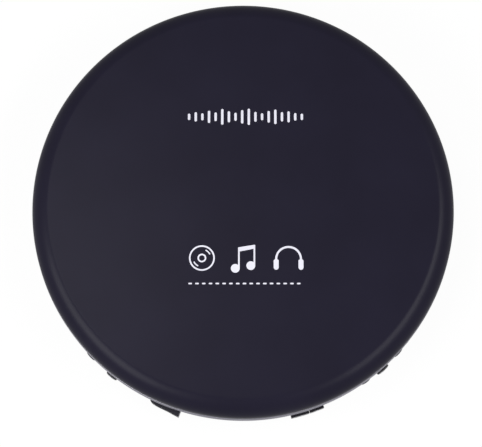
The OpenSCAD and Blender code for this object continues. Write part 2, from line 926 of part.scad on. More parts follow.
module board_capacitors() {
    color("#4b4a52")
        for (c = cap_at)
            translate(concat(polar(board_r - c[0], c[1]), board_top))
                cylinder(r = c[2], h = c[3]);
}

// ---------- jacks and battery contacts ----------

module headphone_jack() {
    neck_r = 3.2;
    color("#1b1b1f")
        at_front(phones_a)
            difference() {
                union() {
                    block([phones_x0, -4, jack_low], [shell_in - 1.2, 4, key_z + 3.4]);
                    bar([shell_in - 1.6, 0, key_z], "x", neck_r, jack_out - shell_in + 1.6);
                }
                bar([jack_out - phones_len, 0, key_z], "x", phones_r, phones_len + over);
            }
}

module power_jack() {
    neck_r = 3.8;
    pin_r = 1;
    color("#1b1b1f")
        at_front(power_a)
            union() {
                difference() {
                    union() {
                        block([power_x0, -4.5, jack_low], [shell_in - 1.8, 4.5, key_z + 4]);
                        bar([shell_in - 2.2, 0, key_z], "x", neck_r, jack_out - shell_in + 2.2);
                    }
                    bar([jack_out - power_len, 0, key_z], "x", power_r, power_len + over);
                }
                bar([jack_out - power_len - 0.5, 0, key_z], "x", pin_r, power_len - 0.5);
            }
}

module contact_springs() {
    color(steel_c)
        for (x = cell_x)
            translate([x, -bay_y + 0.7, cell_z])
                rotate([-90, 0, 0])
                    coil(4, 0.35, 3.2, 3.5, 2.2);
}

// Flat contacts at both ends of the bay
module contact_plates() {
    low = cell_z - contact_h;
    high = cell_z + contact_h;
    color(steel_c)
        union() {
            block([bay_x0 + 1.5, -bay_y + 0.05, low], [bay_x1 - 1.5, -bay_y + 0.6, high]);
            for (x = cell_x) {
                block([x - 5, bay_y - 0.6, low], [x + 5, bay_y - 0.05, high]);
                bar([x, bay_y - 1.4, cell_z], "y", 2.4, 1);
            }
        }
}

// ---------- drive ----------

module mech_chassis() {
    rod_block = 2.4;
    damper_r = 3.3;
    color("#8f9197")
        difference() {
            union() {
                intersection() {
                    block([-window_x - 2.8, -plate_y, plate_z], [plate_x1, plate_y, plate_z + plate_t]);
                    cylinder(r = shell_in - 1.9, h = tall);
                }
                posts(damper_at, damper_r + 2.9, plate_z, plate_z + plate_t);
                // Ear that carries the sled motor and the idler
                block([idler_x - 7, motor_y - motor_r - 1.5, plate_z],
                      [motor_x + motor_r + 1.5, -rod_y - 3, plate_z + plate_t]);
                // Blocks that hold the guide rods
                for (y = [-rod_y, rod_y], x = [-window_x - 2.8, sled_x1 + 1.1])
                    block([x, y - 2.5, rod_z - 2.2], [x + rod_block, y + 2.5, plate_z + eps]);
            }
            // Opening for the pickup
            block([-window_x - 0.4, -rod_y - 3, 0], [sled_x1 + 0.4, rod_y + 3, tall]);
            // Dampers sit in round holes
            posts(damper_at, damper_r, 10, tall);
            bar([0, 0, 10], "z", 3.1, 10);
            for (y = [-rod_y, rod_y])
                bar([rod_x0 - 0.1, y, rod_z], "x", rod_r + 0.01, rod_x1 - rod_x0 + 0.2);
            bar([idler_x, idler_y, 10], "z", axle_r + 0.01, 10);
            bar([motor_x, motor_y, 10], "z", 2.1, 10);
        }
}

module mech_dampers() {
    bore_r = 2.05;
    neck_r = 3.2;
    lip_r = 4.4;
    color("#2a2a2e")
        for (p = damper_at)
            translate([p[0], p[1], 0])
                rotate_extrude()
                    polygon([
                        [bore_r, plate_z - 1.2], [lip_r, plate_z - 1.2], [lip_r, plate_z - 0.05],
                        [neck_r, plate_z - 0.05], [neck_r, plate_z + plate_t + 0.05],
                        [lip_r, plate_z + plate_t + 0.05], [lip_r, deck_low - 0.05],
                        [bore_r, deck_low - 0.05]
                    ]);
}

module mech_screws() {
    color(steel_c)
        for (p = damper_at)
            translate([p[0], p[1], plate_z])
                union() {
                    bar([0, 0, -2.5], "z", 3.4, 1.2);
                    bar([0, 0, -1.5], "z", 1, 3.2);
                }
}

// A small motor can under the plate: rounded ends, a nose through the plate and a rear boss
module motor_can(r, low, nose_r, nose_h, boss_r, boss_h, bore_r) {
    chamfer = min(0.6, r / 10);
    difference() {
        union() {
            rotate_extrude()
                polygon([
                    [0, low], [r - chamfer, low], [r, low + chamfer], [r, plate_z - chamfer],
                    [r - chamfer, plate_z], [nose_r, plate_z], [nose_r, plate_z + nose_h],
                    [0, plate_z + nose_h]
                ]);
            bar([0, 0, low - boss_h], "z", boss_r, boss_h + 0.2);
        }
        children();
    }
}

module spindle_motor() {
    color(steel_c)
        motor_can(spindle_motor_r, plate_z - 7.8, 3, 1.4, 3, 0.6)
            bar([0, 0, plate_z - 7.6], "z", shaft_r + 0.04, tall);
}

module spindle_shaft() {
    low = plate_z - 7.4;
    color(bright_c)
        bar([0, 0, low], "z", shaft_r, ball_z + 0.5 - low);
}

// Turntable with the hub that centres the disc
module turntable() {
    boss_r = 3.2;
    top_r = hub_r - 2.05;
    color("#1d1d21")
        difference() {
            rotate_extrude($fn = 96)
                polygon([
                    [0, plate_z + 1.8], [boss_r, plate_z + 1.8], [boss_r, table_z - table_t],
                    [table_r, table_z - table_t], [table_r, table_z], [hub_r, table_z],
                    [hub_r, seat_top], [hub_r - 0.25, seat_top + 0.1], [hub_r - 0.25, seat_top + 1.8],
                    [top_r, seat_top + 2.7], [0, seat_top + 2.7]
                ]);
            bar([0, 0, plate_z], "z", shaft_r + 0.01, ball_z + 0.51 - plate_z);
            for (i = [0:2])
                rotate([0, 0, 90 + 120 * i])
                    bar([ball_x - ball_r - 0.95, 0, ball_z], "x", ball_r + 0.05, 5);
        }
}

module disc_pad() {
    color("#34343a")
        tube(table_r - 4.1, table_r - 0.3, table_z, disc_z);
}

module clamp_ball(i) {
    color(steel_c)
        rotate([0, 0, 90 + 120 * i])
            translate([ball_x, 0, ball_z])
                sphere(r = ball_r, $fn = 48);
}

module clamp_ball_1() {
    clamp_ball(0);
}

module clamp_ball_2() {
    clamp_ball(1);
}

module clamp_ball_3() {
    clamp_ball(2);
}

module guide_rod(y) {
    color(bright_c)
        bar([rod_x0, y, rod_z], "x", rod_r, rod_x1 - rod_x0);
}

module guide_rod_front() {
    guide_rod(-rod_y);
}

module guide_rod_rear() {
    guide_rod(rod_y);
}

// Carriage that slides on the rods: a round bore at the rear, an open slot at the front
module pickup_sled() {
    slot = rod_r + 0.06;
    color("#3b3c42")
        difference() {
            union() {
                block([sled_x0, -sled_w, sled_z], [sled_x1, sled_w, sled_top]);
                block([sled_x0 + 1.5, rack_back, sled_z + 0.2], [sled_x1 - 1, -10, sled_top]);
                block([sled_x0 + 1, 10, sled_z + 0.2], [sled_x1 - 1, rod_y + 3, sled_top]);
                // Laser housing
                bar([-lens_in + 5, 4, sled_z + 3], "y", 2.4, 10);
            }
            bar([sled_x0 - over, rod_y, rod_z], "x", rod_r + 0.05, 20);
            block([sled_x0 - over, rack_back - over, rod_z - slot],
                  [sled_x1 + over, -rod_y + slot, rod_z + slot]);
            // Light path under the lens
            bar([-lens_in, 0, sled_z + 1.5], "z", 2.6, 10);
            // Relief beside the spindle motor
            translate([3.5, 0, 0])
                cylinder(r = spindle_motor_r + 7, h = tall);
        }
}

module actuator_yoke() {
    base_t = 0.7;
    color("#a4a6ab")
        difference() {
            union() {
                block([-lens_in - 4.6, -9.4, sled_top], [-lens_in + 4.6, 9.4, sled_top + base_t]);
                for (s = [-1, 1])
                    block([-lens_in - 3.4, s * 8.6 - 0.5, sled_top],
                          [-lens_in + 3.4, s * 8.6 + 0.5, sled_top + 3.4]);
            }
            bar([-lens_in, 0, sled_top - over], "z", 2.6, 5);
        }
}

module actuator_magnets() {
    color("#6d6f75")
        for (s = [-1, 1])
            block([-lens_in - 3, s * 7 - 1.1, sled_top + 0.7],
                  [-lens_in + 3, s * 7 + 1.1, sled_top + 3.2]);
}

module lens_holder() {
    color("#18181b")
        difference() {
            union() {
                block([-lens_in - 3.8, -5.4, lens_z - 2.2], [-lens_in + 3.8, 5.4, lens_z]);
                bar([-lens_in, 0, lens_z - 1.2], "z", 3.3, 2.2);
            }
            bar([-lens_in, 0, lens_z - 3.2], "z", 1.9, 10);
            bar([-lens_in, 0, lens_z], "z", 2.42, 10);
        }
}

module objective_lens() {
    lens_r = 2.4;
    color("#7f8fc4")
        translate([-lens_in, 0, lens_z])
            rotate_extrude()
                polygon(concat(
                    [[0, 0], [lens_r, 0], [lens_r, 0.6]],
                    [for (i = [1:6]) [(lens_r - 0.2) * cos(15 * i), 0.6 + 0.8 * sin(15 * i)]]
                ));
}

// Toothed strip on the sled
module sled_rack() {
    pitch = PI * gear_m;
    half = pitch / 4 - backlash;
    tip = 0.9 * gear_m;
    root = 1.2 * gear_m;
    slope = tan(pressure);
    first = floor((sled_x0 - idler_x) / pitch) + 1;
    last = floor((rack_x1 - idler_x) / pitch) - 1;
    color(white_c)
        translate([0, 0, rack_z])
            linear_extrude(rack_h)
                polygon(concat(
                    [[sled_x0 + 0.3, rack_y + root]],
                    [for (i = [first:last], k = [0:3])
                        let (
                            x = idler_x + pitch * i,
                            e = k < 2 ? -1 : 1,
                            low = k == 0 || k == 3
                        )
                        [x + e * (half + (low ? root : -tip) * slope), rack_y + (low ? root : -tip)]],
                    [[rack_x1, rack_y + root], [rack_x1, rack_back], [sled_x0 + 0.3, rack_back]]
                ));
}

// Large wheel driven by the motor, and small gear that drives the rack
module idler_gear() {
    wheel_top = wheel_z + wheel_h;
    color(white_c)
        translate([idler_x, idler_y, 0])
            difference() {
                union() {
                    translate([0, 0, wheel_z])
                        rotate([0, 0, motor_angle + 180 / wheel_teeth])
                            linear_extrude(wheel_h)
                                gear_outline(wheel_teeth);
                    translate([0, 0, wheel_top - eps])
                        rotate([0, 0, 90 + 180 / small_teeth])
                            linear_extrude(3.4)
                                gear_outline(small_teeth);
                    bar([0, 0, wheel_top + 3.3], "z", 2, plate_z - 0.2 - wheel_top - 3.3);
                }
                bar([0, 0, 0], "z", axle_r + 0.04, tall);
                for (a = [45:90:315])
                    rotate([0, 0, a])
                        bar([gear_m * wheel_teeth / 3, 0, 0], "z", 1.5, wheel_top - 0.1);
            }
}

module idler_axle() {
    low = wheel_z - 0.3;
    color(steel_c)
        bar([idler_x, idler_y, low], "z", axle_r, plate_z + plate_t - low);
}

module motor_pinion() {
    color(brass_c)
        translate([motor_x, motor_y, wheel_z - 0.1])
            difference() {
                rotate([0, 0, motor_angle + 180])
                    linear_extrude(wheel_h + 0.3)
                        gear_outline(pinion_teeth);
                bar([0, 0, -over], "z", 0.76, 5);
            }
}

module sled_motor() {
    color(steel_c)
        translate([motor_x, motor_y, 0])
            motor_can(motor_r, plate_z - 6.2, 2, 1.2, 2, 0.4)
                bar([0, 0, plate_z - 7.8], "z", 0.8, 3);
}

module lid_switch() {
    color(switch_c)
        at_front(switch_a)
            union() {
                block([shell_in - 4.8, -2.4, deck_z - 9.2], [shell_in - 1, 2.4, deck_z - 4.8]);
                bar([shell_in - 2.8, 0, deck_z - 5], "z", 0.8, 1.4);
            }
}

// Tells when the sled is fully in
module limit_switch() {
    x = sled_x1 + 1.4;
    low = plate_z - 4.2;
    color(switch_c)
        union() {
            block([x, 9.4, low], [x + 4.6, 12.4, plate_z]);
            block([x - 0.6, 9.8, low + 0.3], [x + 0.2, 11.2, low + 2.6]);
        }
}

// ---------- parts ----------

lid_shell();
lid_liner();
hinge_pin();
lid_spring();
disc_deck();
side_band();
bottom_shell();
battery_door();
rubber_feet();
case_screws();
display_window();
lcd_panel();
lcd_backlight();
open_slider();
slider_spring();
menu_button();
mode_button();
previous_button();
play_button();
stop_button();
volume_down_key();
volume_up_key();
hold_switch();
key_switches();
key_board();
main_board();
jack_board();
board_chips();
board_capacitors();
headphone_jack();
power_jack();
contact_springs();
contact_plates();
mech_chassis();
mech_dampers();
mech_screws();
spindle_motor();
spindle_shaft();
turntable();
disc_pad();
clamp_ball_1();
clamp_ball_2();
clamp_ball_3();
guide_rod_front();
guide_rod_rear();
pickup_sled();
actuator_yoke();
actuator_magnets();
lens_holder();
objective_lens();
sled_rack();
idler_gear();
idler_axle();
motor_pinion();
sled_motor();
lid_switch();
limit_switch();
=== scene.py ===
"""Dresses the portable disc player: lid paint, bright band, moulded case, keys, deck and drive."""
import json
import math

import bmesh
import bpy
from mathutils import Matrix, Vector
from mathutils.bvhtree import BVHTree

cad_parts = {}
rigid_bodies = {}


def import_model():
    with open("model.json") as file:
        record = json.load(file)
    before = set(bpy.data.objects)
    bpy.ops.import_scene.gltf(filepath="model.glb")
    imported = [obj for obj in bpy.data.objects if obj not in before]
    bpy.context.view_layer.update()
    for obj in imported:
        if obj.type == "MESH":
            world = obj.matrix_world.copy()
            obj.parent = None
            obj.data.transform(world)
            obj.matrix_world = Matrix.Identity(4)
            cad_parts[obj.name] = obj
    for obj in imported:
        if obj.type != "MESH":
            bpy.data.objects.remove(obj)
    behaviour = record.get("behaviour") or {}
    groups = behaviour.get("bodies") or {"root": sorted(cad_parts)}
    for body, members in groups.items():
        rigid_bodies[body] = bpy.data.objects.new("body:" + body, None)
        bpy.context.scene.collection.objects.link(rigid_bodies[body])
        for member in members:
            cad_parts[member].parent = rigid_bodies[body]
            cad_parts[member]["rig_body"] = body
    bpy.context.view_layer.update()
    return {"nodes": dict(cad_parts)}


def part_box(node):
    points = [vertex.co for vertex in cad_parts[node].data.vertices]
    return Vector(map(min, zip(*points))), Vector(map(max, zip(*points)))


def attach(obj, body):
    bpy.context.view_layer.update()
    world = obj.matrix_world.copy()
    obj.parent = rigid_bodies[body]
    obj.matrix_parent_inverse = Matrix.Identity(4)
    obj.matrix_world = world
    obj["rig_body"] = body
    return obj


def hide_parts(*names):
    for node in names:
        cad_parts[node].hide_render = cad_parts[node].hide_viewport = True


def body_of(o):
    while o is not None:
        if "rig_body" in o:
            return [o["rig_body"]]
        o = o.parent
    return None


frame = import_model()
MM = 0.001


# ---------- camera, floor and light ----------

RIM_PLANE = 21.2 * MM
VIEW_DISTANCE = 529.4 * MM
VIEW_TILT = math.radians(12.22)
SENSOR_WIDTH, LENS = 36, 118.78
CAMERA_SHIFT = (-0.0042946058, -0.0332572614)
ROOM_LIGHT = 0.22
LAMP_DISTANCE = 0.75
# Name, bearing and lift in degrees, width and depth in metres, watts
SOFTBOXES = (
    ("key softbox", 211, 40, 0.62, 0.33, 4.9),
    ("top softbox", 160, 73, 0.24, 0.24, 1.15),
    ("fill softbox", -16, 46, 0.72, 0.24, 4.2),
)
FLOOR_SIZE, FLOOR_Z = 6, -0.05 * MM
FLOOR_PAINT, FLOOR_GLOW = (0.86, 0.86, 0.86), 0.94


def place_camera():
    data = bpy.data.cameras.new("camera")
    data.sensor_width, data.lens = SENSOR_WIDTH, LENS
    data.shift_x, data.shift_y = CAMERA_SHIFT
    data.clip_start = 0.01
    camera = bpy.data.objects.new("camera", data)
    camera.location = (
        0, -VIEW_DISTANCE * math.sin(VIEW_TILT), RIM_PLANE + VIEW_DISTANCE * math.cos(VIEW_TILT)
    )
    camera.rotation_euler = (VIEW_TILT, 0, 0)
    bpy.context.scene.collection.objects.link(camera)
    bpy.context.scene.camera = camera


def softbox(name, bearing, lift, width, depth, watts):
    """An area lamp that faces the player from a bearing and a lift above the floor."""
    data = bpy.data.lights.new(name, "AREA")
    data.shape = "RECTANGLE"
    data.size, data.size_y = width, depth
    data.energy = watts
    lamp = bpy.data.objects.new(name, data)
    around, above = math.radians(bearing), math.radians(lift)
    away = Vector((
        math.cos(above) * math.cos(around), math.cos(above) * math.sin(around), math.sin(above)
    ))
    lamp.location = Vector((0, 0, RIM_PLANE)) + away * LAMP_DISTANCE
    lamp.rotation_euler = away.to_track_quat("Z", "Y").to_euler()
    bpy.context.scene.collection.objects.link(lamp)


def light_room():
    """A plain white room: lit evenly, seen as pure white, with a soft key at the front left."""
    bpy.context.scene.view_settings.view_transform = "Standard"
    world = bpy.data.worlds.new("studio")
    bpy.context.scene.world = world
    world.use_nodes = True
    room = Tree(world.node_tree)
    even = room.add("ShaderNodeBackground", None, {"Color": WHITE, "Strength": ROOM_LIGHT})
    bright = room.add("ShaderNodeBackground", None, {"Color": WHITE, "Strength": 1})
    room.show(room.either(room.seen(), even, bright), "World Output")
    for lamp in SOFTBOXES:
        softbox(*lamp)


def floor_white():
    """White floor that still takes the player's shadow."""
    floor = Finish("floor", FLOOR_PAINT, 0.9, Specular_IOR_Level=0.1)
    paint = Signal(floor, floor.shader.outputs[0])
    glow = floor.add("ShaderNodeEmission", None, {"Color": WHITE, "Strength": 1})
    floor.show(floor.either(floor.seen() * FLOOR_GLOW, paint, glow), "Material Output")
    return floor.material


def lay_floor():
    bpy.ops.mesh.primitive_plane_add(size=FLOOR_SIZE, location=(0, 0, FLOOR_Z))
    floor = bpy.context.object
    floor.name = "floor"
    floor.data.materials.append(floor_white())


# ---------- shader shorthand ----------

WHITE = (1, 1, 1, 1)
LOOKING_RAYS = ("Is Camera Ray", "Is Glossy Ray", "Is Transmission Ray")
SOFT_STEP = ((0.35, 0), (0.65, 1))
PATCH_GRAINS = 40


class Signal:
    """A shader socket that sums can be written on."""

    def __init__(self, tree, socket):
        self.tree = tree
        self.socket = socket

    def math(self, operation, *others):
        inputs = dict(enumerate([self, *others]))
        return self.tree.add("ShaderNodeMath", {"operation": operation}, inputs)

    def __add__(self, other):
        return self.math("ADD", other)

    def __sub__(self, other):
        return self.math("SUBTRACT", other)

    def __rsub__(self, other):
        return self.math("MULTIPLY", -1) + other

    def __mul__(self, other):
        return self.math("MULTIPLY", other)

    __radd__ = __add__
    __rmul__ = __mul__


class Tree:
    """The nodes of a world or a material."""

    def __init__(self, node_tree):
        self.nodes = node_tree.nodes
        self.links = node_tree.links

    def add(self, kind, settings=None, inputs=None, output=0):
        """Adds any node: its settings first, then the values or links of its sockets."""
        node = self.nodes.new(kind)
        for key, value in (settings or {}).items():
            if key == "stops":
                set_stops(node.color_ramp, value)
            else:
                setattr(node, key, value)
        for key, value in (inputs or {}).items():
            if isinstance(value, Signal):
                self.links.new(value.socket, node.inputs[key])
            else:
                node.inputs[key].default_value = value
        return Signal(self, node.outputs[output])

    def seen(self):
        """One where the surface is looked at, straight, in a reflection or through glass."""
        looks = [self.add("ShaderNodeLightPath", output=ray) for ray in LOOKING_RAYS]
        return looks[0].math("MAXIMUM", looks[1]).math("MAXIMUM", looks[2])

    def either(self, share, low, high):
        """Between two shaders."""
        return self.add("ShaderNodeMixShader", None, {0: share, 1: low, 2: high})

    def show(self, shader, end):
        self.links.new(shader.socket, self.nodes[end].inputs["Surface"])


class Finish(Tree):
    """A material with a Principled shader, built up from named pieces."""

    def __init__(self, name, colour, roughness, **sockets):
        self.material = bpy.data.materials.new(name)
        self.material.use_nodes = True
        super().__init__(self.material.node_tree)
        self.shader = self.nodes["Principled BSDF"]
        self.colour = (*colour, 1)
        self.set("Base Color", self.colour)
        self.set("Roughness", roughness)
        for socket, value in sockets.items():
            self.set(socket.replace("_", " "), value)
        self.material.diffuse_color = self.colour

    def set(self, socket, value):
        target = self.shader.inputs[socket]
        if isinstance(value, Signal):
            self.links.new(value.socket, target)
        else:
            target.default_value = value

    def place(self):
        """Coordinates that ride with the piece, in metres."""
        return self.add("ShaderNodeTexCoord", output="Object")

    def noise(self, size, detail=4, rough=0.5, place=None):
        """Even noise from 0 to 1, with features of that size in metres."""
        inputs = {"Vector": place or self.place(), "Scale": 1 / size, "Detail": detail,
                  "Roughness": rough}
        return self.add("ShaderNodeTexNoise", {"noise_dimensions": "3D"}, inputs)

    def cells(self, size):
        """A grey level of its own for each cell of that size in metres."""
        colour = self.add(
            "ShaderNodeTexVoronoi", {"feature": "F1"}, {"Vector": self.place(), "Scale": 1 / size},
            output="Color",
        )
        return self.add("ShaderNodeSeparateColor", None, {0: colour})

    def ramp(self, value, *stops):
        """A ramp of (position, grey or colour) stops."""
        return self.add("ShaderNodeValToRGB", {"stops": stops}, {"Fac": value})

    def mix(self, mask, low, high):
        """Between two colours."""
        return self.add(
            "ShaderNodeMix", {"data_type": "RGBA"}, {0: mask, 6: low, 7: high}, output=2
        )

    def bump(self, height, depth, strength=1, under=None):
        inputs = {"Height": height, "Distance": depth, "Strength": strength}
        if under:
            inputs["Normal"] = under
        return self.add("ShaderNodeBump", None, inputs)

    def grain(self, size, depth, mottle=0.0, spread=0.0):
        """Fine moulded grain: bump, a little lighter and darker, a little rougher and smoother."""
        fine = self.noise(size, 3, 0.6)
        wide = self.noise(size * PATCH_GRAINS, 3, 0.5)
        dark = tuple(c * (1 - mottle) for c in self.colour[:3]) + (1,)
        pale = tuple(min(1, c * (1 + mottle)) for c in self.colour[:3]) + (1,)
        self.set("Base Color", self.mix(self.ramp(wide, *SOFT_STEP), dark, pale))
        base = self.shader.inputs["Roughness"].default_value
        self.set("Roughness", (wide - 0.5) * (2 * spread) + (fine - 0.5) * spread + base)
        self.set("Normal", self.bump(fine, depth))
        return self


def set_stops(ramp, stops):
    """Gives a fresh two-stop ramp its (position, value) stops."""
    for i, (position, value) in enumerate(stops):
        element = ramp.elements[i] if i < 2 else ramp.elements.new(position)
        element.position = position
        element.color = value if isinstance(value, tuple) else (value, value, value, 1)


def rgb(r, g, b):
    """A linear colour from eight-bit display values."""
    def linear(v):
        v = v / 255
        return v / 12.92 if v <= 0.04045 else ((v + 0.055) / 1.055) ** 2.4
    return (linear(r), linear(g), linear(b))


def opaque(r, g, b):
    """The same with a full alpha, for a colour socket."""
    return (*rgb(r, g, b), 1)


# ---------- finishes ----------

def soft_touch_paint():
    """Violet-black rubbery lid paint: faint orange peel, fine dust nibs, handled patches."""
    roughness = 0.35
    paint = Finish("soft touch paint", rgb(24, 22, 36), roughness, Specular_IOR_Level=0.01,
                   Coat_Roughness=0.34)
    peel = paint.noise(1.1 * MM, 3, 0.5)
    fine = paint.noise(0.18 * MM, 2, 0.6)
    wide = paint.noise(24 * MM, 3, 0.5)
    mask = paint.ramp(wide, (0.3, 0), (0.7, 1))
    paint.set("Base Color", paint.mix(mask, opaque(22, 20, 33), opaque(24, 22, 36)))
    paint.set("Roughness", (wide - 0.5) * 0.08 + (fine - 0.5) * 0.06 + roughness)
    paint.set("Coat Weight", (wide - 0.5) * 0.03 + (fine - 0.5) * 0.03 + 0.13)
    paint.set("Normal", paint.bump(fine, 0.005 * MM, 0.6, paint.bump(peel, 0.004 * MM, 0.5)))
    return paint.material


def pale_print():
    """Screen-printed ink."""
    ink = Finish("pale print", rgb(206, 205, 216), 0.5)
    return ink.grain(0.2 * MM, 0.003 * MM, 0.04, 0.05).material


def silver_paint():
    """Satin silver paint with fine flake."""
    silver = Finish("silver paint", rgb(133, 131, 141), 0.36, Metallic=0.8,
                    Specular_Tint=(0.4, 0.4, 0.43, 1))
    spark = silver.cells(0.12 * MM)
    silver.set("Base Color", silver.mix(spark, opaque(121, 119, 129), opaque(146, 144, 153)))
    silver.set("Roughness", spark * 0.14 + 0.3)
    silver.set("Normal", silver.bump(spark, 0.002 * MM, 0.5))
    return silver.material


def moulded(name, colour, roughness, size=0.35 * MM, depth=0.018 * MM, **sockets):
    """Spark-eroded plastic."""
    return Finish(name, colour, roughness, **sockets).grain(size, depth, 0.08, 0.05).material


def polished(name, colour, roughness, **sockets):
    """Gloss plastic with faint smears."""
    gloss = Finish(name, colour, roughness, **sockets)
    return gloss.grain(3 * MM, 0.002 * MM, 0.03, 0.06).material


def metal(name, colour, roughness, stretch=(1, 1, 1)):
    """Bare metal with grinding marks along one direction."""
    bare = Finish(name, colour, roughness, Metallic=1.0)
    scaled = bare.add("ShaderNodeMapping", None, {"Vector": bare.place(), "Scale": stretch})
    marks = bare.noise(0.5 * MM, 3, 0.6, scaled)
    wide = bare.noise(8 * MM, 2, 0.5)
    low = (*[c * 0.88 for c in colour], 1)
    bare.set("Base Color", bare.mix(bare.ramp(wide, *SOFT_STEP), low, (*colour, 1)))
    bare.set("Roughness", (marks - 0.5) * 0.16 + roughness)
    bare.set("Normal", bare.bump(marks, 0.003 * MM, 0.6))
    return bare.material


def turned(name, colour, roughness):
    """Metal with fine rings about the spindle."""
    bare = Finish(name, colour, roughness, Metallic=1.0)
    ring_scale = 0.09 * MM
    flat = bare.add("ShaderNodeVectorMath", {"operation": "MULTIPLY"},
                    {0: bare.place(), 1: (1, 1, 0)})
    radius = bare.add("ShaderNodeVectorMath", {"operation": "LENGTH"}, {0: flat}, output="Value")
    rings = (radius * (1 / ring_scale)).math("SINE")
    bare.set("Roughness", rings * 0.05 + roughness)
    bare.set("Normal", bare.bump(rings, 0.002 * MM, 0.5))
    return bare.material


def sheet_steel():
    """Zinc-plated sheet with a faint spangle."""
    sheet = Finish("zinc sheet", rgb(168, 170, 176), 0.38, Metallic=0.95)
    tone = sheet.cells(3 * MM)
    sheet.set("Base Color", sheet.mix(tone, opaque(150, 153, 160), opaque(184, 186, 191)))
    sheet.set("Roughness", tone * 0.14 + 0.3)
    sheet.set("Normal", sheet.bump(sheet.noise(0.4 * MM, 3), 0.004 * MM, 0.5))
    return sheet.material


TRACK_PITCH, TRACK_RUN, VIA_PITCH = 0.9 * MM, 6.5 * MM, 3.1 * MM


def track_lines(board, across, along):
    """Copper lines a pitch apart, broken at random. Across and along are 0 for X, 1 for Y."""
    scale = [0, 0, 0]
    scale[across], scale[along] = 1 / TRACK_PITCH, 1 / TRACK_RUN
    lane = board.add("ShaderNodeMapping", None, {"Vector": board.place(), "Scale": scale})
    grey = board.add("ShaderNodeTexVoronoi", None, {"Vector": lane, "Scale": 1, "Randomness": 0},
                     output="Color")
    laid = board.ramp(board.add("ShaderNodeSeparateColor", None, {0: grey}), (0.42, 0), (0.44, 1))
    offset = board.add("ShaderNodeSeparateXYZ", None, {0: lane}, output=across)
    middle = (offset.math("FRACT") - 0.5).math("ABSOLUTE")
    return laid * board.ramp(middle, (0.2, 1), (0.27, 0))


def solder_mask():
    """Green board with copper tracks just raised under the mask, and tinned through-holes."""
    board = Finish("solder mask", rgb(18, 62, 44), 0.32, Coat_Weight=0.25)
    zone = board.ramp(board.cells(16 * MM), (0.48, 0), (0.5, 1))
    tracks = track_lines(board, 0, 1) * zone + track_lines(board, 1, 0) * (1 - zone)
    spot = board.add("ShaderNodeTexVoronoi", None,
                     {"Vector": board.place(), "Scale": 1 / VIA_PITCH, "Randomness": 0.8})
    holes = board.ramp(spot, (0.1, 1), (0.13, 0))
    green = board.mix(tracks, opaque(14, 56, 40), opaque(36, 92, 64))
    board.set("Base Color", board.mix(holes, green, opaque(168, 170, 168)))
    board.set("Metallic", holes * 0.9)
    board.set("Roughness", board.noise(4 * MM) * 0.12 + 0.26)
    board.set("Normal", board.bump(tracks + holes, 0.03 * MM, 0.7))
    return board.material


def lens_glass():
    """Coated lens: clear, blue-violet in reflection."""
    glass = Finish("coated lens", rgb(120, 128, 196), 0.04, IOR=1.6, Transmission_Weight=0.55,
                   Coat_Weight=0.6, Coat_Tint=(0.5, 0.45, 1, 1))
    glass.set("Roughness", glass.noise(1 * MM) * 0.04 + 0.02)
    return glass.material


def smoked_window():
    """Dark clear plastic over the display, with fine polishing haze."""
    smoke = Finish("smoked window", rgb(14, 14, 18), 0.05, Alpha=0.42)
    smoke.set("Roughness", smoke.noise(2 * MM) * 0.06 + 0.04)
    return smoke.material


def display_glass():
    """Unlit display behind its polariser, a little lighter and darker in broad random patches."""
    display = Finish("display glass", rgb(150, 160, 138), 0.25)
    tone = display.noise(9 * MM, 2)
    display.set("Base Color", display.mix(tone, opaque(138, 148, 128), opaque(162, 172, 148)))
    display.set("Roughness", display.noise(0.6 * MM) * 0.1 + 0.2)
    return display.material


def display_ink():
    """Liquid-crystal segments at rest, just darker than their ground."""
    ink = Finish("display segments", rgb(70, 78, 66), 0.3)
    ink.set("Roughness", ink.noise(0.3 * MM) * 0.1 + 0.25)
    return ink.material


# ---------- mesh makers ----------

AROUND = 360
SHARP_EDGE = math.radians(32)


def new_piece(name, mesh, material, body, *replaced):
    """Links a mesh as a piece on a body, standing for CAD nodes where given."""
    piece = bpy.data.objects.new(name, mesh)
    mesh.materials.append(material)
    bpy.context.scene.collection.objects.link(piece)
    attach(piece, body)
    if replaced:
        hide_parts(*replaced)
    return piece


def arc(centre, radius, start, end, steps):
    """Points of an arc, angles in degrees."""
    return [
        (centre[0] + radius * math.cos(math.radians(start + (end - start) * i / steps)),
         centre[1] + radius * math.sin(math.radians(start + (end - start) * i / steps)))
        for i in range(steps + 1)
    ]


def mesh_from(work, name):
    """A piece's mesh from a work mesh: faces outwards, smooth but for its sharp edges."""
    bmesh.ops.recalc_face_normals(work, faces=work.faces)
    data = bpy.data.meshes.new(name)
    work.to_mesh(data)
    work.free()
    data.shade_smooth()
    data.set_sharp_from_angle(angle=SHARP_EDGE)
    return data


def lathe(name, profile, start=0.0, end=360.0):
    """A closed solid turned about the spindle from a closed (radius, height) outline in mm."""
    work = bmesh.new()
    full = end - start >= 360
    count = AROUND if full else AROUND + 1
    rings = []
    for radius, height in profile:
        if radius == 0:
            rings.append([work.verts.new((0, 0, height * MM))] * count)
            continue
        ring = []
        for i in range(count):
            angle = math.radians(start + (end - start) * i / AROUND)
            x, y = radius * MM * math.cos(angle), radius * MM * math.sin(angle)
            ring.append(work.verts.new((x, y, height * MM)))
        rings.append(ring)
    for a, b in zip(rings, rings[1:] + rings[:1]):
        for i in range(AROUND):
            j = (i + 1) % count
            corners = []
            for vertex in (a[i], a[j], b[j], b[i]):
                if vertex not in corners:
                    corners.append(vertex)
            if len(corners) > 2:
                work.faces.new(corners)
    if not full:
        work.faces.new([ring[0] for ring in rings])
        work.faces.new([ring[-1] for ring in reversed(rings)])
    return mesh_from(work, name)


# ---------- artwork ----------

INK_PROUD, INK_SUNK = 0.012 * MM, 0.03 * MM
INK_STEP, SPLIT_ROUNDS = 0.8 * MM, 6
WELD = 0.001 * MM
REACH, WALL_R = 15, 70


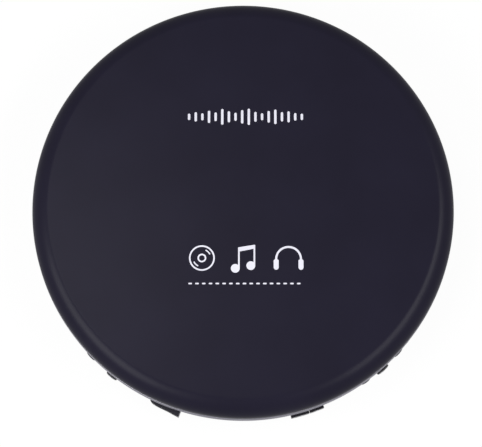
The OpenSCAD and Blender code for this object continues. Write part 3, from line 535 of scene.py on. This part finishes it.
def artwork(name, outlines):
    """Flat ink in mm. Each outline is a list of loops, the first outside and the others holes."""
    curve = bpy.data.curves.new(name, "CURVE")
    curve.dimensions = "2D"
    curve.fill_mode = "BOTH"
    curve.extrude = INK_SUNK
    for loops in outlines:
        for loop in loops:
            spline = curve.splines.new("POLY")
            spline.points.add(len(loop) - 1)
            for point, (x, y) in zip(spline.points, loop):
                point.co = (x * MM, y * MM, 0, 1)
            spline.use_cyclic_u = True
    holder = bpy.data.objects.new(name, curve)
    mesh = bpy.data.meshes.new_from_object(holder)
    bpy.data.objects.remove(holder)
    mesh.name = name
    work = bmesh.new()
    work.from_mesh(mesh)
    bmesh.ops.remove_doubles(work, verts=work.verts, dist=WELD)
    for _ in range(SPLIT_ROUNDS):
        long_edges = [edge for edge in work.edges if edge.calc_length() > INK_STEP]
        if not long_edges:
            break
        bmesh.ops.subdivide_edges(work, edges=long_edges, cuts=1)
        bmesh.ops.triangulate(work, faces=work.faces[:])
    work.to_mesh(mesh)
    work.free()
    return mesh


def skin_of(mesh):
    work = bmesh.new()
    work.from_mesh(mesh)
    skin = BVHTree.FromBMesh(work)
    work.free()
    return skin


def press_on(mesh, skin, middle, right, up):
    """Presses flat ink onto a surface from outside. Right and up are the ink's own directions."""
    right, up = Vector(right), Vector(up)
    out = right.cross(up)
    for vertex in mesh.vertices:
        x, y, height = vertex.co
        start = Vector(middle) + right * x + up * y
        hit = skin.ray_cast(start + out * REACH * MM, -out)[0]
        vertex.co = hit + out * (INK_PROUD if height > 0 else -INK_SUNK)
    return mesh


def on_wall(angle, height):
    """Middle, right and up of ink on the case's wall, at an angle from the front."""
    a = math.radians(angle)
    out = Vector((math.sin(a), -math.cos(a), 0))
    middle = out * WALL_R * MM + Vector((0, 0, height * MM))
    return middle, (math.cos(a), math.sin(a), 0), (0, 0, 1)


def circle_loop(x, y, radius, steps=64):
    turns = [2 * math.pi * i / steps for i in range(steps)]
    return [(x + radius * math.cos(turn), y + radius * math.sin(turn)) for turn in turns]


def arc_stroke(x, y, radius, width, start, end, steps=48):
    """A thick arc as one closed loop, angles in degrees."""
    outer = arc((x, y), radius + width / 2, start, end, steps)
    inner = arc((x, y), radius - width / 2, end, start, steps)
    return outer + inner


def round_stroke(x0, y0, x1, y1, width):
    """A straight stroke with round ends."""
    steps = 10
    angle = math.degrees(math.atan2(y1 - y0, x1 - x0))
    return arc((x0, y0), width / 2, angle + 90, angle + 270, steps) + arc(
        (x1, y1), width / 2, angle - 90, angle + 90, steps)


def box_loop(x0, y0, x1, y1):
    return [(x0, y0), (x1, y0), (x1, y1), (x0, y1)]


def box_frame(x0, y0, x1, y1, line):
    """The outline of a box, as an outer and an inner loop."""
    return [box_loop(x0, y0, x1, y1), box_loop(x0 + line, y0 + line, x1 - line, y1 - line)]


def level_bars(x, y, pitch, heights, width):
    """Upright bars of a sound-level display, centred on a line."""
    start = x - pitch * (len(heights) - 1) / 2
    return [
        [round_stroke(start + pitch * i, y - h / 2, start + pitch * i, y + h / 2, width)]
        for i, h in enumerate(heights)
    ]


def disc_mark(x, y, radius, line):
    """A plain disc: rim, centre hole and its ring, and a glint."""
    return [
        [circle_loop(x, y, radius), circle_loop(x, y, radius - line)],
        [circle_loop(x, y, radius * 0.34), circle_loop(x, y, radius * 0.34 - line)],
        [arc_stroke(x, y, radius * 0.68, line * 0.8, 25, 65, 16)],
        [arc_stroke(x, y, radius * 0.68, line * 0.8, 205, 245, 16)],
    ]


def note_mark(x, y, size):
    """Two joined quavers in one outline."""
    head = size * 0.16
    line = size * 0.06
    stem = size * 0.62
    lift = size * 0.1
    beam = size * 0.15
    left, right = x - size * 0.21, x + size * 0.35
    low = y - size * 0.38
    meet = math.degrees(math.acos(1 - line / head))
    return [[
        arc((left - head, low), head, meet, 360, 40)
        + [(left, low + stem), (right - line, low + stem + lift)]
        + arc((right - head, low + lift), head, meet, 360, 40)
        + [(right, low + stem + lift + beam), (left - line, low + stem + beam)]
    ]]


def headphone_mark(x, y, size):
    """A headband with two ear cups in one outline."""
    r = size * 0.42
    half = size * 0.035
    cup = size * 0.085
    shoulder = y - size * 0.1
    low = y - size * 0.34
    band_middle = (x, y - size * 0.06)

    def ear(middle):
        return [(middle - cup, shoulder), *arc((middle, low), cup, 180, 360, 16),
                (middle + cup, shoulder)]
    return [[[
        *arc(band_middle, r + half, 0, 180, 40), *ear(x - r),
        *arc(band_middle, r - half, 180, 0, 40), *ear(x + r),
    ]]]


def arrow_mark(x, y, length, height):
    """A solid arrow that points right."""
    tail, tip = x - length / 2, x + length / 2
    neck = tip - height * 0.62
    half = height * 0.16
    return [[[(tail, y - half), (neck, y - half), (neck, y - height / 2), (tip, y),
              (neck, y + height / 2), (neck, y + half), (tail, y + half)]]]


def plus_mark(x, y, size, line):
    a, b = size / 2, line / 2
    return [[[(x - a, y - b), (x - b, y - b), (x - b, y - a), (x + b, y - a), (x + b, y - b),
              (x + a, y - b), (x + a, y + b), (x + b, y + b), (x + b, y + a), (x - b, y + a),
              (x - b, y + b), (x - a, y + b)]]]


def minus_mark(x, y, size, line):
    return [[box_loop(x - size / 2, y - line / 2, x + size / 2, y + line / 2)]]


def play_mark():
    return [[[(-1.15, -0.85), (0.2, 0), (-1.15, 0.85)]], [box_loop(0.45, -0.8, 0.78, 0.8)],
            [box_loop(1.02, -0.8, 1.35, 0.8)]]


def stop_mark():
    return [[box_loop(-0.7, -0.7, 0.7, 0.7)]]


def skip_back_mark():
    return [[box_loop(-0.98, -0.6, -0.76, 0.6)], [[(-0.72, 0), (0.08, -0.6), (0.08, 0.6)]],
            [[(0.12, 0), (0.92, -0.6), (0.92, 0.6)]]]


def menu_mark():
    return [[box_loop(-0.9, y - 0.13, 0.9, y + 0.13)] for y in (-0.58, 0, 0.58)]


def repeat_mark():
    return [[arc_stroke(0, 0, 0.95, 0.26, 60, 350)],
            [[(0.69, 1.18), (0.28, 0.45), (1.02, 0.5)]]]


def lock_mark():
    return [[box_loop(-0.8, -1.0, 0.8, 0.25)], [arc_stroke(0, 0.27, 0.5, 0.24, 0, 180, 20)]]


def socket_polarity_mark():
    """Centre contact positive: a dot inside an open ring, with its two signs."""
    return [
        [circle_loop(0, 0, 0.26, 24)],
        [arc_stroke(0, 0, 0.66, 0.2, 40, 320, 32)],
        [box_loop(0.27, -0.09, 1.7, 0.09)],
        [box_loop(-1.7, -0.09, -0.77, 0.09)],
        *plus_mark(2.35, 0, 0.9, 0.2),
        *minus_mark(-2.35, 0, 0.9, 0.2),
    ]


def cell_mark(x, y, way):
    """A battery cell lying along the bay. Way is 1 where its positive end points up."""
    half_w, half_l, line = 2.5, 8.5, 0.3
    nub_w, nub_gap, nub_l = 0.9, 0.02, 0.8
    sign_in, sign_size, sign_line = 2.2, 1.8, 0.36
    tip = y + way * half_l
    nub_ends = sorted((tip + way * nub_gap, tip + way * nub_l))
    return [
        box_frame(x - half_w, y - half_l, x + half_w, y + half_l, line),
        [box_loop(x - nub_w, nub_ends[0], x + nub_w, nub_ends[1])],
        *plus_mark(x, y + way * (half_l - sign_in), sign_size, sign_line),
        *minus_mark(x, y - way * (half_l - sign_in), sign_size, sign_line),
    ]


def bar_segment(x0, y0, x1, y1, t):
    """One six-sided segment of a digit, level or upright."""
    a = t / 2
    if y0 == y1:
        return [[(x0, y0), (x0 + a, y0 - a), (x1 - a, y0 - a),
                 (x1, y0), (x1 - a, y0 + a), (x0 + a, y0 + a)]]
    return [[(x0, y0), (x0 + a, y0 + a), (x0 + a, y1 - a),
             (x0, y1), (x0 - a, y1 - a), (x0 - a, y0 + a)]]


def digit_segments(x, y, width, height, t):
    """All seven segments of a digit."""
    x0, x1 = x - width / 2, x + width / 2
    y0, y1 = y - height / 2, y + height / 2
    gap = t * 0.12
    level = [bar_segment(x0 + gap, h, x1 - gap, h, t) for h in (y0, y, y1)]
    upright = [bar_segment(s, a + gap, s, b - gap, t)
               for s in (x0, x1) for a, b in ((y0, y), (y, y1))]
    return level + upright


DIGITS_AT = (-2.6, 0.6, 4.6, 7.8)
DIGIT_W, DIGIT_H, DIGIT_LINE = 2.0, 4.0, 0.42


def display_segments():
    """Four digits with a colon, and signs for the cell's charge, play and repeat."""
    marks = []
    for x in DIGITS_AT:
        marks += digit_segments(x, 0, DIGIT_W, DIGIT_H, DIGIT_LINE)
    marks += [[circle_loop(2.6, y, 0.28, 20)] for y in (-0.9, 0.9)]
    marks += [box_frame(-10.2, -0.8, -7.2, 0.8, 0.22), [box_loop(-7.18, -0.4, -6.85, 0.4)]]
    marks += [[[(-10.0, 1.5), (-8.9, 2.05), (-10.0, 2.6)]]]
    marks += [[arc_stroke(-8.8, -1.9, 0.6, 0.2, 60, 350, 24)]]
    return marks


# ---------- lid ----------

INSIDE_CAD = 0.02
LID_R, SKIRT_Z, RIM_Z = 69.99, 20.4, 21.885
TOP_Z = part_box("lid_shell")[1][2] / MM - INSIDE_CAD
RIM_R, RIM_TURN, LID_WALL = 7.3, 78.0, 1.8
FOOT_ROUND, TOP_STEPS = 0.35, 24
CREASE_INSETS, CREASE_SOFT = (0.7, 0.25), 1.5
CREASE_R = LID_R - RIM_R + RIM_R * math.cos(math.radians(RIM_TURN))
CREASE_Z = RIM_Z + RIM_R * math.sin(math.radians(RIM_TURN))
ON_TOP = ((0, 0, TOP_Z * MM), (1, 0, 0), (0, 1, 0))


def crown(radius):
    """Height of the lid's flat top, which rises a little to the middle."""
    return TOP_Z - (TOP_Z - CREASE_Z) * (radius / CREASE_R) ** 2


def lid_cover():
    """The painted lid: a nearly flat top, a soft crease, and a rim turned down to the skirt."""
    top = [(radius, crown(radius)) for radius in
           [CREASE_R * i / TOP_STEPS for i in range(TOP_STEPS)]
           + [CREASE_R - inset for inset in CREASE_INSETS]]
    turn_middle = (LID_R - RIM_R, RIM_Z)
    outer = arc(turn_middle, RIM_R, RIM_TURN - CREASE_SOFT, 0, steps=30)
    cut = FOOT_ROUND * 0.3
    foot = [(LID_R, SKIRT_Z + FOOT_ROUND), (LID_R - cut, SKIRT_Z + cut),
            (LID_R - FOOT_ROUND, SKIRT_Z), (LID_R - LID_WALL, SKIRT_Z)]
    inner = arc(turn_middle, RIM_R - LID_WALL, 0, RIM_TURN, steps=14)
    return lathe("lid_cover", top + outer + foot + inner + [(0, TOP_Z - LID_WALL)])


LEVELS = (1.4, 2.4, 1.6, 3.4, 2.2, 4.6, 3.0, 2.0, 3.8, 4.8, 2.6, 1.6, 3.2, 4.2, 2.4, 3.0, 1.8, 1.4)
PRINT_X, BARS_Y, SIGNS_Y, DASHES_Y = 0.8, 29.0, -18.6, -27
PRINT_PITCH, BAR_W = 2.2, 0.8
DASH_LONG, DASH_LINE = 0.7, 0.5
DASHES_AT = [-17.5 + PRINT_PITCH * i for i in range(17)]


def dress_lid():
    cover = lid_cover()
    new_piece("lid_cover", cover, soft_touch_paint(), "lid", "lid_shell")
    skin = skin_of(cover)
    ink = pale_print()
    marks = {
        "level_print": level_bars(PRINT_X, BARS_Y, PRINT_PITCH, LEVELS, BAR_W),
        "disc_print": disc_mark(-13.4, SIGNS_Y, 4.2, 0.5),
        "note_print": note_mark(PRINT_X, SIGNS_Y, 9),
        "headphone_print": headphone_mark(14.8, -18.4, 9.6),
        "dash_print": [[round_stroke(x, DASHES_Y, x + DASH_LONG, DASHES_Y, DASH_LINE)]
                       for x in DASHES_AT],
    }
    for name, outlines in marks.items():
        new_piece(name, press_on(artwork(name, outlines), skin, *ON_TOP), ink, "lid")
    return ink


# ---------- case ----------

BAND_R, BAND_IN, BAND_Z, DECK_Z = 70.18, 68.3, 15.1, 20.0
BAND_FOOT_ROUND, BAND_TOP_ROUND = 0.25, 0.45
RECESS_W = 27.5
KEY_Z = 9.0
UNDERNEATH = ((0, 0, 0), (1, 0, 0), (0, -1, 0))
# Sideways from the door's middle, and the way that the cell's positive end points
CELLS_AT = ((-9.4, 1), (-3.4, -1))
# The slider's rim: heights, radii in mm, and its edge as (angle from the front, rise)
GRIP_LEVELS = (6.87, 7.67, 10.33, 11.13)
GRIP_INSIDE, GRIP_FOOT, GRIP_END = 69.75, 70.0, -17.27
GRIP_EDGE = ((-26.0, 0.0), (-25.8, 0.3), (-25.5, 0.52), (-25.0, 0.68), (-24.3, 0.8), (-23.0, 0.92),
             (-21.5, 1.02), (-20.5, 1.12), (-19.5, 1.33), (-18.5, 1.55), (-17.4, 1.79))
# The part of the rim's grid that is left open over the grooves
OPEN_COLUMNS, OPEN_ROW = range(4, 9), 1


def slider_rim():
    """A smooth rim round the opening slider's grip grooves, fuller at its left end."""
    rim = bmesh.new()
    grid = {}
    columns, rows = len(GRIP_EDGE) - 1, len(GRIP_LEVELS) - 1
    for i, (angle, rise) in enumerate(GRIP_EDGE):
        for k, radius in enumerate((GRIP_INSIDE, GRIP_FOOT + rise)):
            a = math.radians(GRIP_END if i == columns and k == 0 else angle)
            x, y = radius * MM * math.sin(a), -radius * MM * math.cos(a)
            for j, z in enumerate(GRIP_LEVELS):
                grid[i, j, k] = rim.verts.new((x, y, z * MM))
    solid = [(i, j) for i in range(columns) for j in range(rows)
             if j != OPEN_ROW or i not in OPEN_COLUMNS]
    for i, j in solid:
        corners = ((i, j), (i + 1, j), (i + 1, j + 1), (i, j + 1))
        for k in (0, 1):
            rim.faces.new([grid[(*corner, k)] for corner in corners])
        beside = ((i, j - 1), (i + 1, j), (i, j + 1), (i - 1, j))
        for p, q, neighbour in zip(corners, corners[1:] + corners[:1], beside):
            if neighbour not in solid:
                rim.faces.new((grid[(*p, 0)], grid[(*q, 0)], grid[(*q, 1)], grid[(*p, 1)]))
    return mesh_from(rim, "slider_rim")


def band_ring():
    """The bright ring under the lid, open at the back for the hinge."""
    profile = (
        [(BAND_IN, BAND_Z), (BAND_R - BAND_FOOT_ROUND, BAND_Z)]
        + arc((BAND_R - BAND_FOOT_ROUND, BAND_Z + BAND_FOOT_ROUND), BAND_FOOT_ROUND, -60, 0, 4)
        + arc((BAND_R - BAND_TOP_ROUND, DECK_Z - BAND_TOP_ROUND), BAND_TOP_ROUND, 0, 90, 6)
        + [(BAND_IN, DECK_Z)]
    )
    half = math.degrees(math.asin(RECESS_W / BAND_R))
    return lathe("band_ring", profile, 90 + half, 450 - half)


def dress(material, *names):
    """Gives CAD pieces a finish."""
    for name in names:
        for slot in frame["nodes"][name].material_slots:
            slot.material = material


def print_case(ink):
    """Signs on the keys, the wall and the battery door, and the display's segments."""
    # Node, angle from the front, outlines, and a height where it isn't the keys' own
    signs = {
        "play_print": ("play_button", 41.5, play_mark()),
        "stop_print": ("stop_button", 47.8, stop_mark()),
        "skip_print": ("previous_button", 35.8, skip_back_mark()),
        "menu_print": ("menu_button", -46.5, menu_mark()),
        "repeat_print": ("mode_button", -38.6, repeat_mark()),
        "minus_print": ("volume_down_key", 15.6, minus_mark(0, 0, 1.9, 0.4)),
        "plus_print": ("volume_up_key", 20.3, plus_mark(0, 0, 1.9, 0.4)),
        "lock_print": ("bottom_shell", 52.2, lock_mark(), 12.1),
        "arrow_print": ("bottom_shell", -20.6, arrow_mark(0, 0, 4.6, 1.8), 13.2),
        "phones_print": ("bottom_shell", 90, headphone_mark(0, 0, 2.5), 13.7),
        "polarity_print": ("bottom_shell", 105, socket_polarity_mark(), 13.85),
    }
    for name, (node, angle, outlines, *height) in signs.items():
        solid = frame["nodes"][node]
        where = on_wall(angle, height[0] if height else KEY_Z)
        inked = press_on(artwork(name, outlines), skin_of(solid.data), *where)
        new_piece(name, inked, ink, *body_of(solid))
    door = skin_of(frame["nodes"]["battery_door"].data)
    lo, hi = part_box("battery_door")
    middle = (lo[0] + hi[0]) / 2 / MM
    cells = [loops for offset, way in CELLS_AT for loops in cell_mark(middle + offset, 0, way)]
    inked = press_on(artwork("cells_print", cells), door, *UNDERNEATH)
    new_piece("cells_print", inked, ink, "door")
    panel = frame["nodes"]["lcd_panel"]
    lo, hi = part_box("lcd_panel")
    face = (0, lo[1], (lo[2] + hi[2]) / 2)
    segments = press_on(artwork("display_segments", display_segments()), skin_of(panel.data),
                        face, (1, 0, 0), (0, 0, 1))
    new_piece("display_segments", segments, display_ink(), "case")


def dress_case(ink):
    new_piece("band_ring", band_ring(), silver_paint(), "case", "side_band")
    print_case(ink)
    dress(moulded("shell plastic", rgb(30, 29, 35), 0.5), "bottom_shell", "battery_door")
    dress(moulded("deck plastic", rgb(38, 37, 44), 0.42, 0.5 * MM, 0.012 * MM), "disc_deck")
    dress(moulded("liner plastic", rgb(30, 30, 35), 0.5, 0.5 * MM, 0.012 * MM), "lid_liner")
    dress(moulded("jack plastic", rgb(24, 24, 28), 0.4), "headphone_jack", "power_jack")
    dress(moulded("foot rubber", rgb(22, 22, 24), 0.85, 0.6 * MM, 0.03 * MM), "rubber_feet")
    dress(smoked_window(), "display_window")
    dress(display_glass(), "lcd_panel")
    dress(polished("key plastic", rgb(22, 21, 27), 0.3, Specular_IOR_Level=0.2), "menu_button",
          "mode_button", "play_button", "stop_button", "volume_down_key", "volume_up_key")
    slide = moulded("slider plastic", rgb(28, 27, 35), 0.4, 0.4 * MM, 0.01 * MM,
                    Specular_IOR_Level=0.2)
    dress(slide, "open_slider", "previous_button", "hold_switch")
    new_piece("slider_rim", slider_rim(), slide, "opening_slider")


def dress_drive():
    dress(metal("plain steel", rgb(180, 182, 188), 0.34, (1, 1, 8)), "hinge_pin", "lid_spring",
          "slider_spring", "contact_springs", "contact_plates", "case_screws", "mech_screws",
          "idler_axle", "sled_motor", "actuator_yoke")
    dress(metal("ground steel", rgb(206, 208, 213), 0.14, (8, 1, 1)), "guide_rod_front",
          "guide_rod_rear", "clamp_ball_1", "clamp_ball_2", "clamp_ball_3")
    dress(turned("turned steel", rgb(196, 198, 204), 0.24), "spindle_motor", "spindle_shaft")
    dress(metal("turned brass", rgb(196, 166, 96), 0.26, (1, 1, 8)), "motor_pinion")
    dress(sheet_steel(), "mech_chassis")
    dress(moulded("hub plastic", rgb(28, 28, 32), 0.36, 0.6 * MM, 0.006 * MM), "turntable",
          "lens_holder")
    dress(moulded("pad rubber", rgb(44, 44, 48), 0.8, 0.4 * MM, 0.02 * MM), "disc_pad",
          "mech_dampers")
    dress(moulded("sled plastic", rgb(46, 46, 50), 0.5, 0.25 * MM, 0.02 * MM), "pickup_sled")
    dress(metal("plated magnet", rgb(120, 121, 128), 0.3), "actuator_magnets")
    dress(lens_glass(), "objective_lens")
    dress(moulded("acetal", rgb(222, 220, 212), 0.4, 0.6 * MM, 0.006 * MM), "sled_rack",
          "idler_gear", "lcd_backlight")
    dress(moulded("switch plastic", rgb(120, 120, 124), 0.5), "key_switches", "lid_switch",
          "limit_switch")
    dress(solder_mask(), *[name for name in frame["nodes"] if name.endswith("_board")])
    dress(moulded("chip resin", rgb(26, 26, 28), 0.55, 0.15 * MM, 0.01 * MM), "board_chips")
    dress(polished("capacitor sleeve", rgb(60, 58, 70), 0.3), "board_capacitors")


def main():
    place_camera()
    lay_floor()
    light_room()
    ink = dress_lid()
    dress_case(ink)
    dress_drive()


main()
